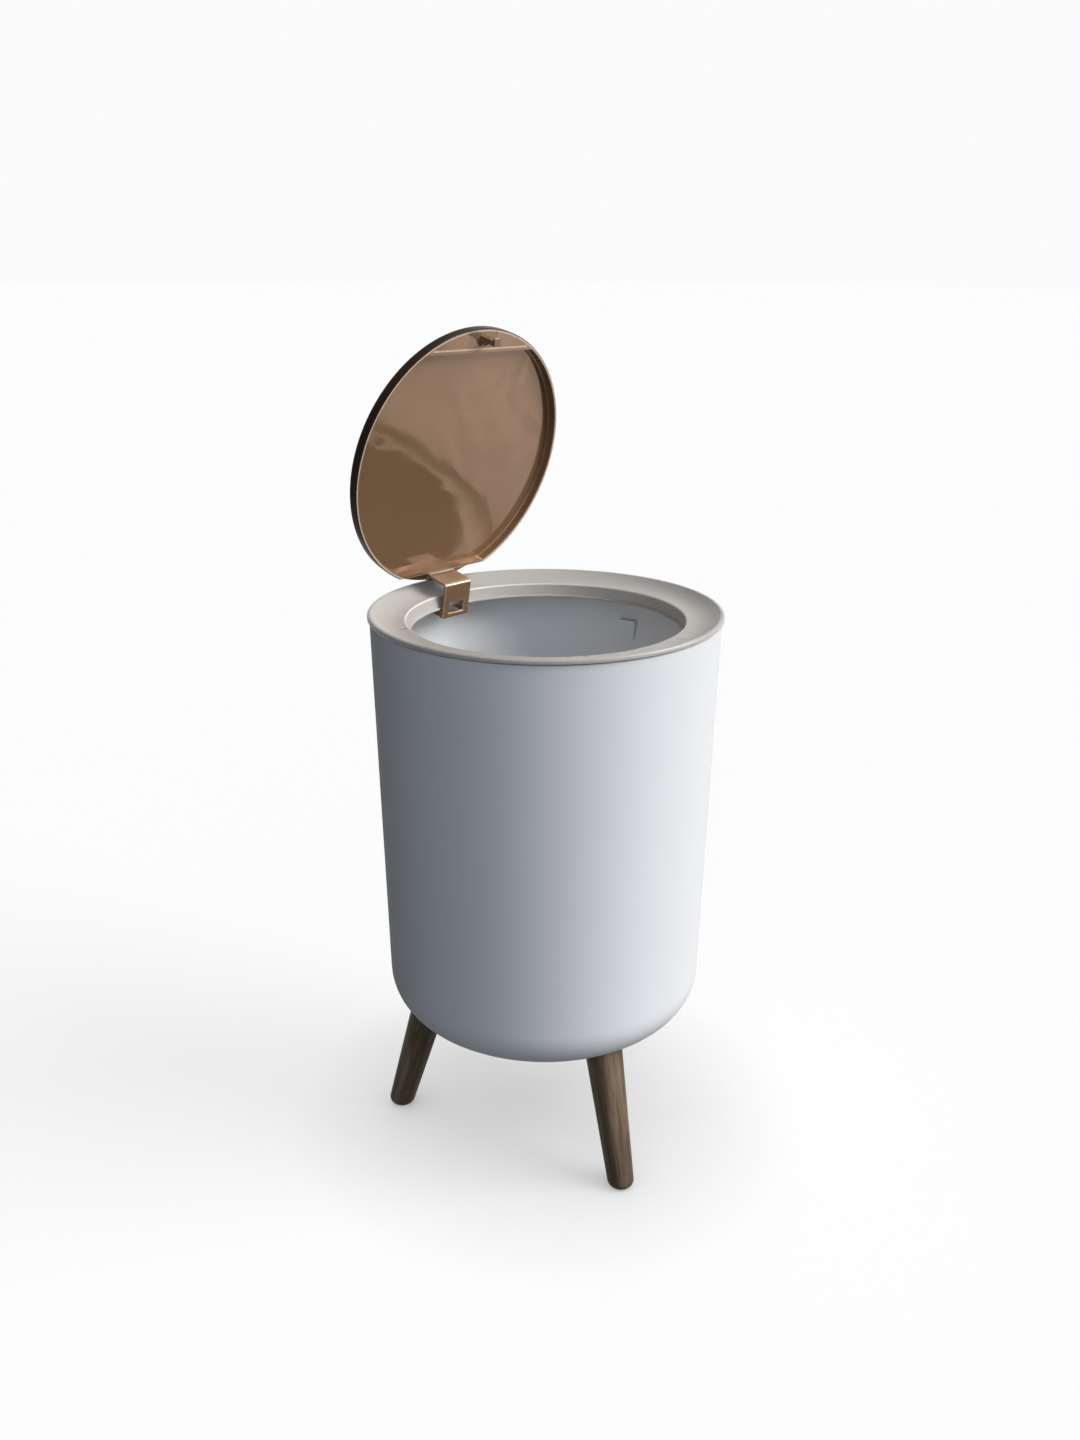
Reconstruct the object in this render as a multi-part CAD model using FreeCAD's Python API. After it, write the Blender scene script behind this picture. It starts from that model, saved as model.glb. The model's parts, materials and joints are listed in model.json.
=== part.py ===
import FreeCAD, Part
import math
import os

# A free-standing round waste bin: a tapered barrel on three splayed wooden legs, a lift-off ring
# in its mouth, and a round press-to-open lid on a gooseneck hinge, shown standing open.
# Millimetres. The origin is on the floor under the barrel's axis, +Z is up, the hinge is at +Y
# and the latch at -Y.

# Driving dimensions: heights of the whole
lip_height = 395.0
barrel_underside = 97.4

# Driving dimensions: barrel
barrel_rim_radius = 118.6
barrel_base_radius = 112.2
barrel_wall = 2.2
barrel_floor = 2.6
barrel_corner = 33.0
barrel_rim_round = 0.6

# Driving dimensions: tuck slots that hold a bag's edge, on the barrel's inside
tuck_top_drop = 33.5
tuck_height = 16.0
tuck_width = 13.2
tuck_foot_width = 9.0
tuck_depth = 4.2
tuck_slit_width = 9.4
tuck_slit_gap = 1.5
tuck_slit_depth = 9.0
tuck_turn = -3.0

# Driving dimensions: legs, set out from the front and counted round the axis
leg_names = ("leg_front", "leg_right", "leg_left")
leg_turn = -17.0
leg_foot_radius = 110.8
leg_splay = 15.7
leg_foot_half = 9.2
leg_top_half = 13.5
leg_foot_round = 5.0
leg_top_height = 106.6
leg_socket_clearance = 0.15
leg_socket_wall = 2.6

# Driving dimensions: leg fasteners
stud_half = 4.0
stud_in_leg = 24.0
stud_point = 4.0
stud_tip_half = 2.0
stud_in_insert = 7.5
insert_half = 5.5
insert_length = 9.0
insert_groove = 0.5
insert_bands = 5
insert_cap = 2.6
fastener_clearance = 0.05

# Driving dimensions: press ring
ring_overhang = 1.4
ring_lip_above_rim = 3.8
ring_seam = 0.6
ring_seam_depth = 1.5
ring_lip_width = 2.7
ring_lip_round = 1.6
ring_lip_inner_round = 0.9
ring_cove_lean = 9.3
ring_cove_round = 31.0
ring_ledge_drop = 6.3
ring_ledge_rise = 0.8
ring_skin = 2.0
ring_skirt_depth = 14.0
ring_skirt_clearance = 0.35
ring_top_width = 25.5
mouth_draft = 1.1
mouth_edge_round = 1.2
mouth_depth = 15.2
seat_width = 1.8
seat_height = 1.6
small_round = 0.5

# Driving dimensions: lid, in its closed place
lid_gap = 0.8
lid_rim_drop = 11.7
lid_depth = 8.5
lid_wall = 2.0
lid_edge_round = 3.2
lid_inner_round = 1.2
rear_segment = 9.5
front_segment = 13.9
lid_open_angle = 74.6
lid_press_travel = 1.5

# Driving dimensions: hinge
pivot_back = 12.2
pivot_drop = 13.4
pin_half = 1.5
pin_clearance = 0.05
pin_head_half = 2.6
pin_head_length = 1.2
pin_tail = 1.6
lug_thick = 3.5
lug_half = 4.6
lug_side_gap = 0.4
clip_thick = 0.7
clip_half = 3.2
clip_groove = 0.4
clip_mouth = 1.8

# Driving dimensions: hinge arm
arm_width = 25.0
arm_step = 1.4
arm_plate = 2.4
arm_reach = 17.8
arm_flare = 2.4
arm_bend_round = 2.6
arm_inner_round = 0.9
arm_root_length = 7.4
arm_root_drop = 1.0
window_width = 13.6
window_height = 8.0
window_strip = 3.4
ear_thick = 3.0
ear_half = 4.0
ear_neck_inner = 1.0
stop_gap = 0.3
hinge_notch_margin = 1.6
hinge_notch_rise = 1.2
hinge_seat_trim = 0.9

# Driving dimensions: lid spring, a torsion spring round the hinge pin
lid_spring_wire = 1.0
lid_spring_half = 2.6
lid_spring_turns = 7
lid_spring_side = 0.8
spring_gap = 0.3
lid_spring_foot_angle = 60.0
spring_rib_height = 4.0
spring_rib_thick = 1.8

# Driving dimensions: striker on the lid's front segment
striker_width = 24.0
striker_length = 10.0
striker_margin = 1.6
striker_clearance = 0.1
striker_barb = 1.2
striker_barb_height = 1.4
striker_barb_width = 5.0
peg_inset = 6.0
peg_width = 6.0
peg_thick = 3.2
peg_length = 14.0
peg_nose = 1.8
peg_nose_height = 2.6
peg_gusset = 4.0
peg_gusset_height = 8.0
peg_gusset_thick = 1.2

# Driving dimensions: latch
claw_swing = 16.0
claw_pivot_out = 7.9
claw_pivot_drop = 20.3
claw_half = 3.8
claw_width = 9.0
claw_arm = 3.4
claw_finger_height = 2.4
claw_finger_lap = 1.4
claw_gap = 0.3
claw_side_gap = 1.1
claw_tail_thick = 2.4
claw_pin_half = 1.5
housing_width = 19.0
housing_wall = 2.0
housing_inner_margin = 2.4
claw_back_gap = 0.4
housing_depth = 31.5
housing_lip_drop = 21.5
flange_gap = 1.8
flange_thick = 2.5
flange_width = 27.0
boss_half = 3.4
screw_spacing = 19.0
screw_half = 1.2
screw_head_half = 2.6
screw_head_height = 1.8
screw_head_round = 0.6
screw_engaged = 7.0
screw_hole_clearance = 0.4
screw_wall_gap = 0.9

# Driving dimensions: latch spring, a compression spring under the claw's tail
latch_spring_wire = 0.7
latch_spring_half = 2.3
latch_spring_turns = 5

# Values worked out from those above
rim_height = lip_height - ring_lip_above_rim
ring_radius = barrel_rim_radius + ring_overhang
barrel_slope = (barrel_rim_radius - barrel_base_radius) / (rim_height - barrel_underside)
mouth_radius = ring_radius - ring_top_width
seat_radius = mouth_radius - mouth_draft
lid_radius = seat_radius - lid_gap
lid_rim_height = lip_height - lid_rim_drop
lid_top_height = lid_rim_height + lid_depth
lid_under_height = lid_top_height - lid_wall
rear_chord = lid_radius - rear_segment
front_chord = lid_radius - front_segment
pivot_y = mouth_radius + pivot_back
pivot_z = lip_height - pivot_drop
ring_ceiling = lip_height - ring_ledge_drop - ring_skin
arm_bottom = lid_rim_height - arm_reach
arm_near = rear_chord + arm_step
arm_far = pivot_y + ear_half
arm_half = arm_width / 2
lug_inside = arm_half + lug_side_gap
lug_outside = lug_inside + lug_thick
peg_radius = lid_radius - peg_inset
peg_tip = lid_rim_height - peg_length
nose_radius = peg_radius + peg_thick / 2 + peg_nose
claw_pivot_radius = peg_radius + peg_thick / 2 + claw_pivot_out
claw_pivot_z = lid_rim_height - claw_pivot_drop
tail_lever = claw_pivot_out + peg_thick
tail_struck = peg_tip - lid_press_travel - claw_gap
tail_offset = (
    tail_struck - claw_pivot_z - tail_lever * math.sin(math.radians(claw_swing))
) / math.cos(math.radians(claw_swing))
housing_inner = peg_radius - housing_inner_margin
housing_outer = claw_pivot_radius + claw_half + claw_back_gap + housing_wall
housing_bottom = lid_rim_height - housing_depth
flange_top = lip_height - mouth_depth - flange_gap
screw_radius = housing_outer + screw_head_half + screw_wall_gap
front_azimuth = -90.0
# How far a cutting shape runs past what it cuts
past = 1.0
quarter_turn = 90.0
full_turn = 360.0
tiny = 1e-6

V = FreeCAD.Vector
ORIGIN = V(0, 0, 0)
ALONG_X = V(1, 0, 0)
ALONG_Y = V(0, 1, 0)
ALONG_Z = V(0, 0, 1)


# Shared drawing helpers


def in_xz(across, up):
    return V(across, 0, up)


def in_yz(across, up):
    return V(0, across, up)


def corner_arc(before, corner, after, radius):
    """The two tangent points and the middle of the arc that rounds one corner."""
    to_before = (before - corner).normalize()
    to_after = (after - corner).normalize()
    half_angle = to_before.getAngle(to_after) / 2
    reach = radius / math.tan(half_angle)
    inward = (to_before + to_after).normalize()
    centre = corner + inward * (radius / math.sin(half_angle))
    return corner + to_before * reach, centre - inward * radius, corner + to_after * reach


def outline(corners, place):
    """A closed wire through (across, up) corners; a third number rounds that corner."""
    points = [place(corner[0], corner[1]) for corner in corners]
    turns = []
    for i, corner in enumerate(corners):
        if len(corner) > 2:
            after = points[(i + 1) % len(points)]
            turns.append(corner_arc(points[i - 1], points[i], after, corner[2]))
        else:
            turns.append((points[i], None, points[i]))
    edges = []
    for i, (start, middle, end) in enumerate(turns):
        if middle is not None:
            edges.append(Part.Arc(start, middle, end).toShape())
        following = turns[(i + 1) % len(turns)][0]
        if end.distanceToPoint(following) > tiny:
            edges.append(Part.LineSegment(end, following).toShape())
    return Part.Wire(edges)


def turned(corners):
    """A solid of revolution about the bin's axis from (radius, height) corners."""
    return Part.Face(outline(corners, in_xz)).revolve(ORIGIN, ALONG_Z, full_turn)


def prism(corners, low_x, high_x):
    """A solid from (y, z) corners between two places along X."""
    face = Part.Face(outline(corners, in_yz))
    face.translate(ALONG_X * low_x)
    return face.extrude(ALONG_X * (high_x - low_x))


def block(low, high):
    size = high - low
    return Part.makeBox(size.x, size.y, size.z, low)


def rod_x(radius, low_x, high_x, y, z):
    return Part.makeCylinder(radius, high_x - low_x, V(low_x, y, z), ALONG_X)


def joined(first, *others):
    """One solid from pieces that overlap."""
    return first.fuse(list(others)).removeSplitter()


def about_axis(shape, azimuth):
    """A copy turned about the bin's axis."""
    copy = shape.copy()
    copy.rotate(ORIGIN, ALONG_Z, azimuth)
    return copy


def opened(shape):
    """A lid piece turned from its closed place to its open one."""
    copy = shape.copy()
    copy.rotate(V(0, pivot_y, pivot_z), ALONG_X, -lid_open_angle)
    return copy


def single(shape):
    """The one solid of a boolean result."""
    return shape.Solids[0] if len(shape.Solids) == 1 else shape


# Wound springs: one unbroken tube on biarcs of a quarter turn


def arc_from(start, way, end):
    """The arc that leaves start along way and finishes at end."""
    chord = end - start
    across = way.cross(chord).cross(way).normalize()
    radius = chord.dot(chord) / (2 * chord.dot(across))
    centre = start + across * radius
    middle = centre + ((start + end) * 0.5 - centre).normalize() * radius
    return Part.Arc(start, middle, end).toShape()


def biarc(start, start_way, end, end_way):
    """Two tangent arcs between two points with given directions."""
    chord = end - start
    ways = start_way + end_way
    spread = 2 * (1 - start_way.dot(end_way))
    along = chord.dot(ways)
    reach = (math.sqrt(along * along + spread * chord.dot(chord)) - along) / spread
    first_knee = start + start_way * reach
    second_knee = end - end_way * reach
    middle = (first_knee + second_knee) * 0.5
    middle_way = (second_knee - first_knee).normalize()
    return [arc_from(start, start_way, middle), arc_from(middle, middle_way, end)]


def coil(middle, along, first, radius, rise, begin, sweep):
    """Edges of a coil about along, with level ends, and the ends' points and directions."""
    second = along.cross(first)
    steps = round(abs(sweep) / quarter_turn)

    def spot(step):
        angle = math.radians(begin + sweep * step / steps)
        round_part = first * (radius * math.cos(angle)) + second * (radius * math.sin(angle))
        return middle + round_part + along * (rise * step / steps)

    def way(step):
        angle = math.radians(begin + sweep * step / steps)
        turn = math.copysign(radius, sweep)
        level = second * (turn * math.cos(angle)) - first * (turn * math.sin(angle))
        climb = rise / abs(math.radians(sweep)) if 0 < step < steps else 0.0
        return (level + along * climb).normalize()

    edges = []
    for step in range(steps):
        edges += biarc(spot(step), way(step), spot(step + 1), way(step + 1))
    return edges, spot(0), way(0), spot(steps), way(steps)


def wound(edges, start, way, wire_diameter, turn_length, name):
    """The spring's tube, with its least gap to itself printed."""
    path = Part.Wire(edges)
    profile = Part.Wire(Part.Circle(start, way, wire_diameter / 2).toShape())
    tube = path.makePipeShell([profile], True, False)
    spacing = wire_diameter / 2
    points = path.discretize(Distance=spacing)
    apart = int(turn_length / spacing / 2)
    nearest = min(
        points[i].distanceToPoint(points[j])
        for i in range(len(points))
        for j in range(i + apart, len(points))
    )
    print(name, "least gap to itself", round(nearest - wire_diameter, 2), "mm")
    return Part.Solid(tube.Shells[0])


# Legs and their fasteners, drawn on the +X side and turned to their places


def leg_axis_point(height):
    """A point on the leg's axis at a height above the floor."""
    return V(leg_foot_radius - height * math.tan(math.radians(leg_splay)), 0, height)


leg_top = leg_axis_point(leg_top_height)
leg_way = (leg_top - leg_axis_point(0)).normalize()
leg_spacing = full_turn / len(leg_names)
leg_azimuths = [front_azimuth + leg_turn + leg_spacing * i for i in range(len(leg_names))]


def leg_rod(radius, low, high):
    """A cylinder on the leg's axis between two distances from the leg's top face."""
    return Part.makeCylinder(radius, high - low, leg_top + leg_way * low, leg_way)


def leg():
    """A tapered rod, cut level with the floor, with a rounded foot and a hole for its stud."""
    length = leg_top.z / math.cos(math.radians(leg_splay))
    spare = leg_foot_half
    taper = (leg_top_half - leg_foot_half) / length
    rod = Part.makeCone(
        leg_foot_half - taper * spare,
        leg_top_half,
        length + spare,
        leg_axis_point(0) - leg_way * spare,
        leg_way,
    )
    reach = leg_foot_radius + leg_top_half + spare
    floor = block(V(-reach, -reach, -reach), V(reach, reach, 0))
    rod = rod.cut(floor)
    foot_edges = [edge for edge in rod.Edges if edge.BoundBox.ZMax < tiny]
    rod = rod.makeFillet(leg_foot_round, foot_edges)
    return rod.cut(leg_rod(stud_half + fastener_clearance, -stud_in_leg, stud_half))


def leg_stud():
    """A stud with a pointed end in the leg and a plain end in the insert."""
    shank = leg_rod(stud_half, stud_point - stud_in_leg, stud_in_insert)
    tip_place = leg_top - leg_way * stud_in_leg
    tip = Part.makeCone(stud_tip_half, stud_half, stud_point, tip_place, leg_way)
    return joined(shank, tip)


def leg_insert():
    """A grooved metal sleeve moulded into the barrel above the leg."""
    sleeve = leg_rod(insert_half, 0, insert_length)
    sleeve = sleeve.cut(leg_rod(stud_half + fastener_clearance, -past, insert_length + past))
    band = insert_length / insert_bands
    for place in range(1, insert_bands, 2):
        start = place * band
        ring = leg_rod(insert_half + past, start, start + band)
        ring = ring.cut(leg_rod(insert_half - insert_groove, start - past, start + band + past))
        sleeve = sleeve.cut(ring)
    return sleeve


# Barrel


def barrel_outside():
    """The barrel's outer form as a full solid."""
    return turned(
        [
            (0, barrel_underside),
            (barrel_base_radius, barrel_underside, barrel_corner),
            (barrel_rim_radius, rim_height, barrel_rim_round),
            (0, rim_height),
        ]
    )


def barrel_inner_radius(height):
    """The inside radius of the barrel's straight wall at a height."""
    return barrel_rim_radius - barrel_wall - (rim_height - height) * barrel_slope


def barrel_inside():
    inner_floor = barrel_underside + barrel_floor
    return turned(
        [
            (0, inner_floor),
            (barrel_inner_radius(inner_floor), inner_floor, barrel_corner - barrel_wall),
            (barrel_inner_radius(rim_height), rim_height),
            (barrel_inner_radius(rim_height), rim_height + barrel_wall),
            (0, rim_height + barrel_wall),
        ]
    )


def tuck_slot():
    """A tapered pocket on the inner wall with a slit in its top, drawn on the +X side."""
    top = lip_height - tuck_top_drop
    foot = top - tuck_height
    wall = barrel_inner_radius(top)
    sunk = barrel_wall / 2
    flank = [
        (wall + sunk, foot),
        (wall + sunk, top),
        (wall - tuck_depth, top, small_round),
        (barrel_inner_radius(foot) - small_round, foot),
    ]
    slab = Part.Face(outline(flank, in_xz))
    slab.translate(ALONG_Y * (-tuck_width / 2))
    pocket = slab.extrude(ALONG_Y * tuck_width)
    for side in (-1, 1):
        cut = [
            (side * tuck_foot_width / 2, foot),
            (side * tuck_width / 2, top),
            (side * tuck_width, top),
            (side * tuck_width, foot),
        ]
        pocket = pocket.cut(prism(cut, wall - tuck_depth - past, wall + barrel_wall))
    slit_outer = wall - small_round
    slit = block(
        V(slit_outer - tuck_slit_gap, -tuck_slit_width / 2, top - tuck_slit_depth),
        V(slit_outer, tuck_slit_width / 2, top + past),
    )
    return pocket, slit


def barrel():
    outside = barrel_outside()
    shell = outside.cut(barrel_inside())
    boss_top = insert_length + insert_cap
    boss = leg_rod(leg_top_half + leg_socket_wall, -leg_top_half, boss_top).common(outside)
    socket = leg_rod(leg_top_half + leg_socket_clearance, -2 * leg_top_half, 0)
    insert_hole = leg_rod(insert_half + fastener_clearance, -past, insert_length)
    pocket, slit = tuck_slot()
    bosses = [about_axis(boss, azimuth) for azimuth in leg_azimuths]
    pockets = [about_axis(pocket, azimuth + tuck_turn) for azimuth in leg_azimuths]
    body = joined(shell, *bosses, *pockets)
    for azimuth in leg_azimuths:
        body = body.cut(about_axis(socket, azimuth))
        body = body.cut(about_axis(insert_hole, azimuth))
        body = body.cut(about_axis(slit, azimuth + tuck_turn))
    return body


# Press ring


def ring_body():
    """The ring's section: rounded lip, cove, ledge, mouth wall with its seat, and plug skirt."""
    ledge = lip_height - ring_ledge_drop
    ledge_inner = ledge + ring_ledge_rise
    lip_inner = ring_radius - ring_lip_width
    mouth_bottom = lip_height - mouth_depth
    seat_top = mouth_bottom + seat_height
    skirt_bottom = rim_height - ring_skirt_depth
    skirt_top_radius = barrel_inner_radius(rim_height) - ring_skirt_clearance
    skirt_foot_radius = barrel_inner_radius(skirt_bottom) - ring_skirt_clearance
    seam_radius = ring_radius - ring_overhang - ring_seam_depth
    return turned(
        [
            (ring_radius, rim_height + ring_seam, small_round),
            (ring_radius, lip_height, ring_lip_round),
            (lip_inner, lip_height, ring_lip_inner_round),
            (lip_inner - ring_cove_lean, ledge, ring_cove_round),
            (mouth_radius, ledge_inner, mouth_edge_round),
            (seat_radius, seat_top, small_round),
            (seat_radius - seat_width, seat_top, small_round),
            (seat_radius - seat_width, mouth_bottom, small_round),
            (seat_radius + ring_skin, mouth_bottom, small_round),
            (mouth_radius + ring_skin, ring_ceiling, small_round),
            (skirt_top_radius - ring_skin, ring_ceiling, small_round),
            (skirt_foot_radius - ring_skin, skirt_bottom, small_round),
            (skirt_foot_radius, skirt_bottom, small_round),
            (skirt_top_radius, rim_height),
            (seam_radius, rim_height),
            (seam_radius, rim_height + ring_seam),
        ]
    )


def hinge_lug(side):
    """One of the two lugs that hang from the ledge and carry the hinge pin."""
    low_x, high_x = sorted((side * lug_inside, side * lug_outside))
    sunk = ring_skin / 2
    web = block(
        V(low_x, pivot_y - lug_half, pivot_z),
        V(high_x, pivot_y + lug_half, ring_ceiling + sunk),
    )
    return joined(web, rod_x(lug_half, low_x, high_x, pivot_y, pivot_z))


def screw_place(side):
    return V(side * screw_spacing / 2, -screw_radius, flange_top)


def latch_boss(side):
    height = ring_ceiling + ring_skin / 2 - flange_top
    return Part.makeCylinder(boss_half, height, screw_place(side), ALONG_Z)


def hinge_notch():
    """Room in the mouth wall's foot for the arm's ears, and in its seat for the arm's plate."""
    half = arm_half + hinge_notch_margin
    mouth_bottom = lip_height - mouth_depth
    ears = block(
        V(-half, rear_chord, mouth_bottom - past),
        V(half, mouth_radius + ring_skin + past, mouth_bottom + hinge_notch_rise),
    )
    seat = block(
        V(-half, rear_chord, mouth_bottom - past),
        V(half, seat_radius - seat_width + hinge_seat_trim, mouth_bottom + seat_height + past),
    )
    return ears, seat


def press_ring():
    lugs = [hinge_lug(side) for side in (-1, 1)]
    bosses = [latch_boss(side) for side in (-1, 1)]
    ring = joined(ring_body(), *lugs, *bosses)
    for notch in hinge_notch():
        ring = ring.cut(notch)
    hole_end = lug_outside + past
    pin_hole = rod_x(pin_half + pin_clearance, -hole_end, hole_end, pivot_y, pivot_z)
    ring = ring.cut(pin_hole)
    for side in (-1, 1):
        hole = Part.makeCylinder(
            screw_half + fastener_clearance, screw_engaged, screw_place(side), ALONG_Z
        )
        ring = ring.cut(hole)
    return ring


# Lid, drawn closed


def striker_window(clearance):
    """The rectangle that the striker fills, as y and x limits."""
    near = front_chord + striker_margin - clearance
    far = near + striker_length + 2 * clearance
    half = striker_width / 2 + clearance
    return near, far, half


def lid():
    """A shallow dish with a skirt, a wall along each chord and a level front segment."""
    shell = turned(
        [
            (0, lid_under_height),
            (lid_radius - lid_wall, lid_under_height, lid_inner_round),
            (lid_radius - lid_wall, lid_rim_height, small_round),
            (lid_radius, lid_rim_height, small_round),
            (lid_radius, lid_top_height, lid_edge_round),
            (0, lid_top_height),
        ]
    )
    rear = block(
        V(-lid_radius, rear_chord, lid_rim_height - past),
        V(lid_radius, lid_radius + past, lid_under_height),
    )
    rear_wall = block(
        V(-lid_radius, rear_chord - lid_wall, lid_rim_height),
        V(lid_radius, rear_chord, lid_under_height),
    )
    front_wall = block(
        V(-lid_radius, -front_chord, lid_rim_height),
        V(lid_radius, lid_wall - front_chord, lid_under_height),
    )
    front_plate = block(
        V(-lid_radius, -lid_radius, lid_rim_height),
        V(lid_radius, lid_wall - front_chord, lid_rim_height + lid_wall),
    )
    inside = lid_radius - lid_wall / 2
    trim = Part.makeCylinder(inside, lid_depth, V(0, 0, lid_rim_height), ALONG_Z)
    walls = [wall.common(trim) for wall in (rear_wall, front_wall, front_plate)]
    body = joined(shell.cut(rear), *walls)
    near, far, half = striker_window(striker_clearance)
    window = block(
        V(-half, -far, lid_rim_height - past), V(half, -near, lid_rim_height + lid_wall)
    )
    return body.cut(window)


def striker():
    """A plate in the front segment with barbs behind it and a hooked peg."""
    near, far, half = striker_window(0)
    inner = lid_rim_height + lid_wall
    plate = block(V(-half, -far, lid_rim_height), V(half, -near, inner))
    middle = -(near + far) / 2
    pieces = []
    for side in (-1, 1):
        low_x, high_x = sorted((side * (half - lid_wall), side * half))
        stem = block(
            V(low_x, middle - striker_barb_width / 2, inner),
            V(high_x, middle + striker_barb_width / 2, inner + striker_barb_height),
        )
        barb_low, barb_high = sorted((side * (half - lid_wall), side * (half + striker_barb)))
        barb = block(
            V(barb_low, middle - striker_barb_width / 2, inner + striker_clearance),
            V(barb_high, middle + striker_barb_width / 2, inner + striker_barb_height),
        )
        pieces += [stem, barb]
    outer = -peg_radius - peg_thick / 2
    peg = prism(
        [
            (outer + peg_thick, inner),
            (outer + peg_thick, peg_tip, small_round),
            (outer - peg_nose, peg_tip + peg_nose_height / 2, small_round),
            (outer - peg_nose, peg_tip + peg_nose_height, small_round),
            (outer, peg_tip + peg_nose_height),
            (outer, inner),
        ],
        -peg_width / 2,
        peg_width / 2,
    )
    gusset_corners = [
        (outer + peg_thick / 2, lid_rim_height),
        (outer + peg_thick + peg_gusset, lid_rim_height),
        (outer + peg_thick / 2, lid_rim_height - peg_gusset_height),
    ]
    gussets = []
    for side in (-1, 1):
        middle_x = side * (peg_width - peg_gusset_thick) / 2
        gussets.append(
            prism(gusset_corners, middle_x - peg_gusset_thick / 2, middle_x + peg_gusset_thick / 2)
        )
    return joined(plate, peg, *pieces, *gussets)


# Hinge arm, drawn with the lid closed


def arm_ear(side):
    """An ear with its neck, its eye round the pin and a heel that stops the lid when open."""
    low_x, high_x = sorted((side * (arm_half - ear_thick), side * arm_half))
    neck = prism(
        [
            (pivot_y - ear_neck_inner, arm_bottom),
            (arm_far, arm_bottom),
            (arm_far, pivot_z),
            (pivot_y - ear_neck_inner, pivot_z),
        ],
        low_x,
        high_x,
    )
    eye = rod_x(ear_half, low_x, high_x, pivot_y, pivot_z)
    rise = ring_ceiling - stop_gap - pivot_z
    heel = prism(
        [
            (pivot_y, pivot_z),
            (pivot_y, pivot_z + rise),
            (pivot_y - ear_half, pivot_z + rise),
            (pivot_y - ear_half, pivot_z),
        ],
        low_x,
        high_x,
    )
    heel.rotate(V(0, pivot_y, pivot_z), ALONG_X, lid_open_angle)
    return joined(neck, eye, heel)


def spring_rib():
    """A rib on the arm's plate that the lid spring's long end pushes."""
    high_y = pivot_y + lid_spring_half - lid_spring_wire / 2 - spring_gap
    low_x = -arm_half + ear_thick / 2
    return block(
        V(low_x, high_y - spring_rib_thick, arm_bottom),
        V(-window_width / 2 - spring_gap, high_y, arm_bottom + arm_plate + spring_rib_height),
    )


def hinge_arm():
    """A gooseneck that carries the lid round the mouth wall to the hinge pin."""
    plate_top = arm_bottom + arm_plate
    neck = prism(
        [
            (arm_near, lid_under_height),
            (arm_near, arm_bottom, arm_bend_round),
            (arm_far, arm_bottom - arm_flare, small_round),
            (arm_far, plate_top - arm_flare),
            (arm_near + arm_plate, plate_top, arm_inner_round),
            (arm_near + arm_plate, lid_under_height),
        ],
        -arm_half,
        arm_half,
    )
    root = block(
        V(-arm_half, rear_chord, lid_rim_height + arm_root_drop),
        V(arm_half, rear_chord + arm_root_length, lid_under_height),
    )
    arm = joined(neck, root, arm_ear(-1), arm_ear(1), spring_rib())
    window_far = arm_far - window_strip
    window = block(
        V(-window_width / 2, window_far - window_height, arm_bottom - arm_flare - past),
        V(window_width / 2, window_far, plate_top + past),
    )
    hole = rod_x(pin_half + pin_clearance, -arm_half - past, arm_half + past, pivot_y, pivot_z)
    return arm.cut(window).cut(hole)


# Hinge pin, its clip and the lid spring


def hinge_pin():
    head_end = -lug_outside - pin_head_length
    groove = lug_outside
    tail = groove + clip_thick + pin_tail
    shaft = rod_x(pin_half, -lug_outside, tail, pivot_y, pivot_z)
    head = rod_x(pin_head_half, head_end, -lug_outside, pivot_y, pivot_z)
    collar = rod_x(pin_half + past, groove, groove + clip_thick, pivot_y, pivot_z)
    core = rod_x(pin_half - clip_groove, groove, groove + clip_thick, pivot_y, pivot_z)
    return joined(shaft, head).cut(collar.cut(core))


def pin_clip():
    """An open ring in the pin's groove, its mouth facing down."""
    low_x = lug_outside + fastener_clearance
    high_x = lug_outside + clip_thick - fastener_clearance
    ring = rod_x(clip_half, low_x, high_x, pivot_y, pivot_z)
    eye_half = pin_half - clip_groove + fastener_clearance
    ring = ring.cut(rod_x(eye_half, low_x, high_x, pivot_y, pivot_z))
    mouth = block(
        V(low_x, pivot_y - clip_mouth / 2, pivot_z - 2 * clip_half),
        V(high_x, pivot_y + clip_mouth / 2, pivot_z),
    )
    return ring.cut(mouth)


def lid_spring():
    """A torsion spring round the pin: a short end under the ledge, a long end on the arm."""
    foot_lean = math.radians(lid_spring_foot_angle)
    long_end_x = -(arm_half - ear_thick) + lid_spring_side + lid_spring_wire / 2
    short_end_x = -long_end_x
    end_angle = -lid_open_angle
    begin_angle = lid_spring_foot_angle - quarter_turn
    sweep = end_angle - begin_angle - full_turn * lid_spring_turns
    middle = V(short_end_x, pivot_y, pivot_z)
    rise = long_end_x - short_end_x
    edges, start, start_way, end, end_way = coil(
        middle, ALONG_X, ALONG_Y, lid_spring_half, rise, begin_angle, sweep
    )
    foot_clear = ring_ceiling - spring_gap - lid_spring_wire / 2 * math.cos(foot_lean)
    foot_length = (foot_clear - start.z) / math.sin(foot_lean)
    foot = start - start_way * foot_length
    long_end = end + end_way * (pivot_z - arm_bottom - arm_plate - spring_gap)
    route = [Part.LineSegment(foot, start).toShape()]
    route += edges
    route.append(Part.LineSegment(end, long_end).toShape())
    turn_length = 2 * math.pi * lid_spring_half
    return wound(route, foot, start_way, lid_spring_wire, turn_length, "lid_spring")


# Latch under the ring's front


def claw_in_yz(radius, height):
    """Latch corners are given by radius; the front is at -Y."""
    return (-radius, height)


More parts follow.
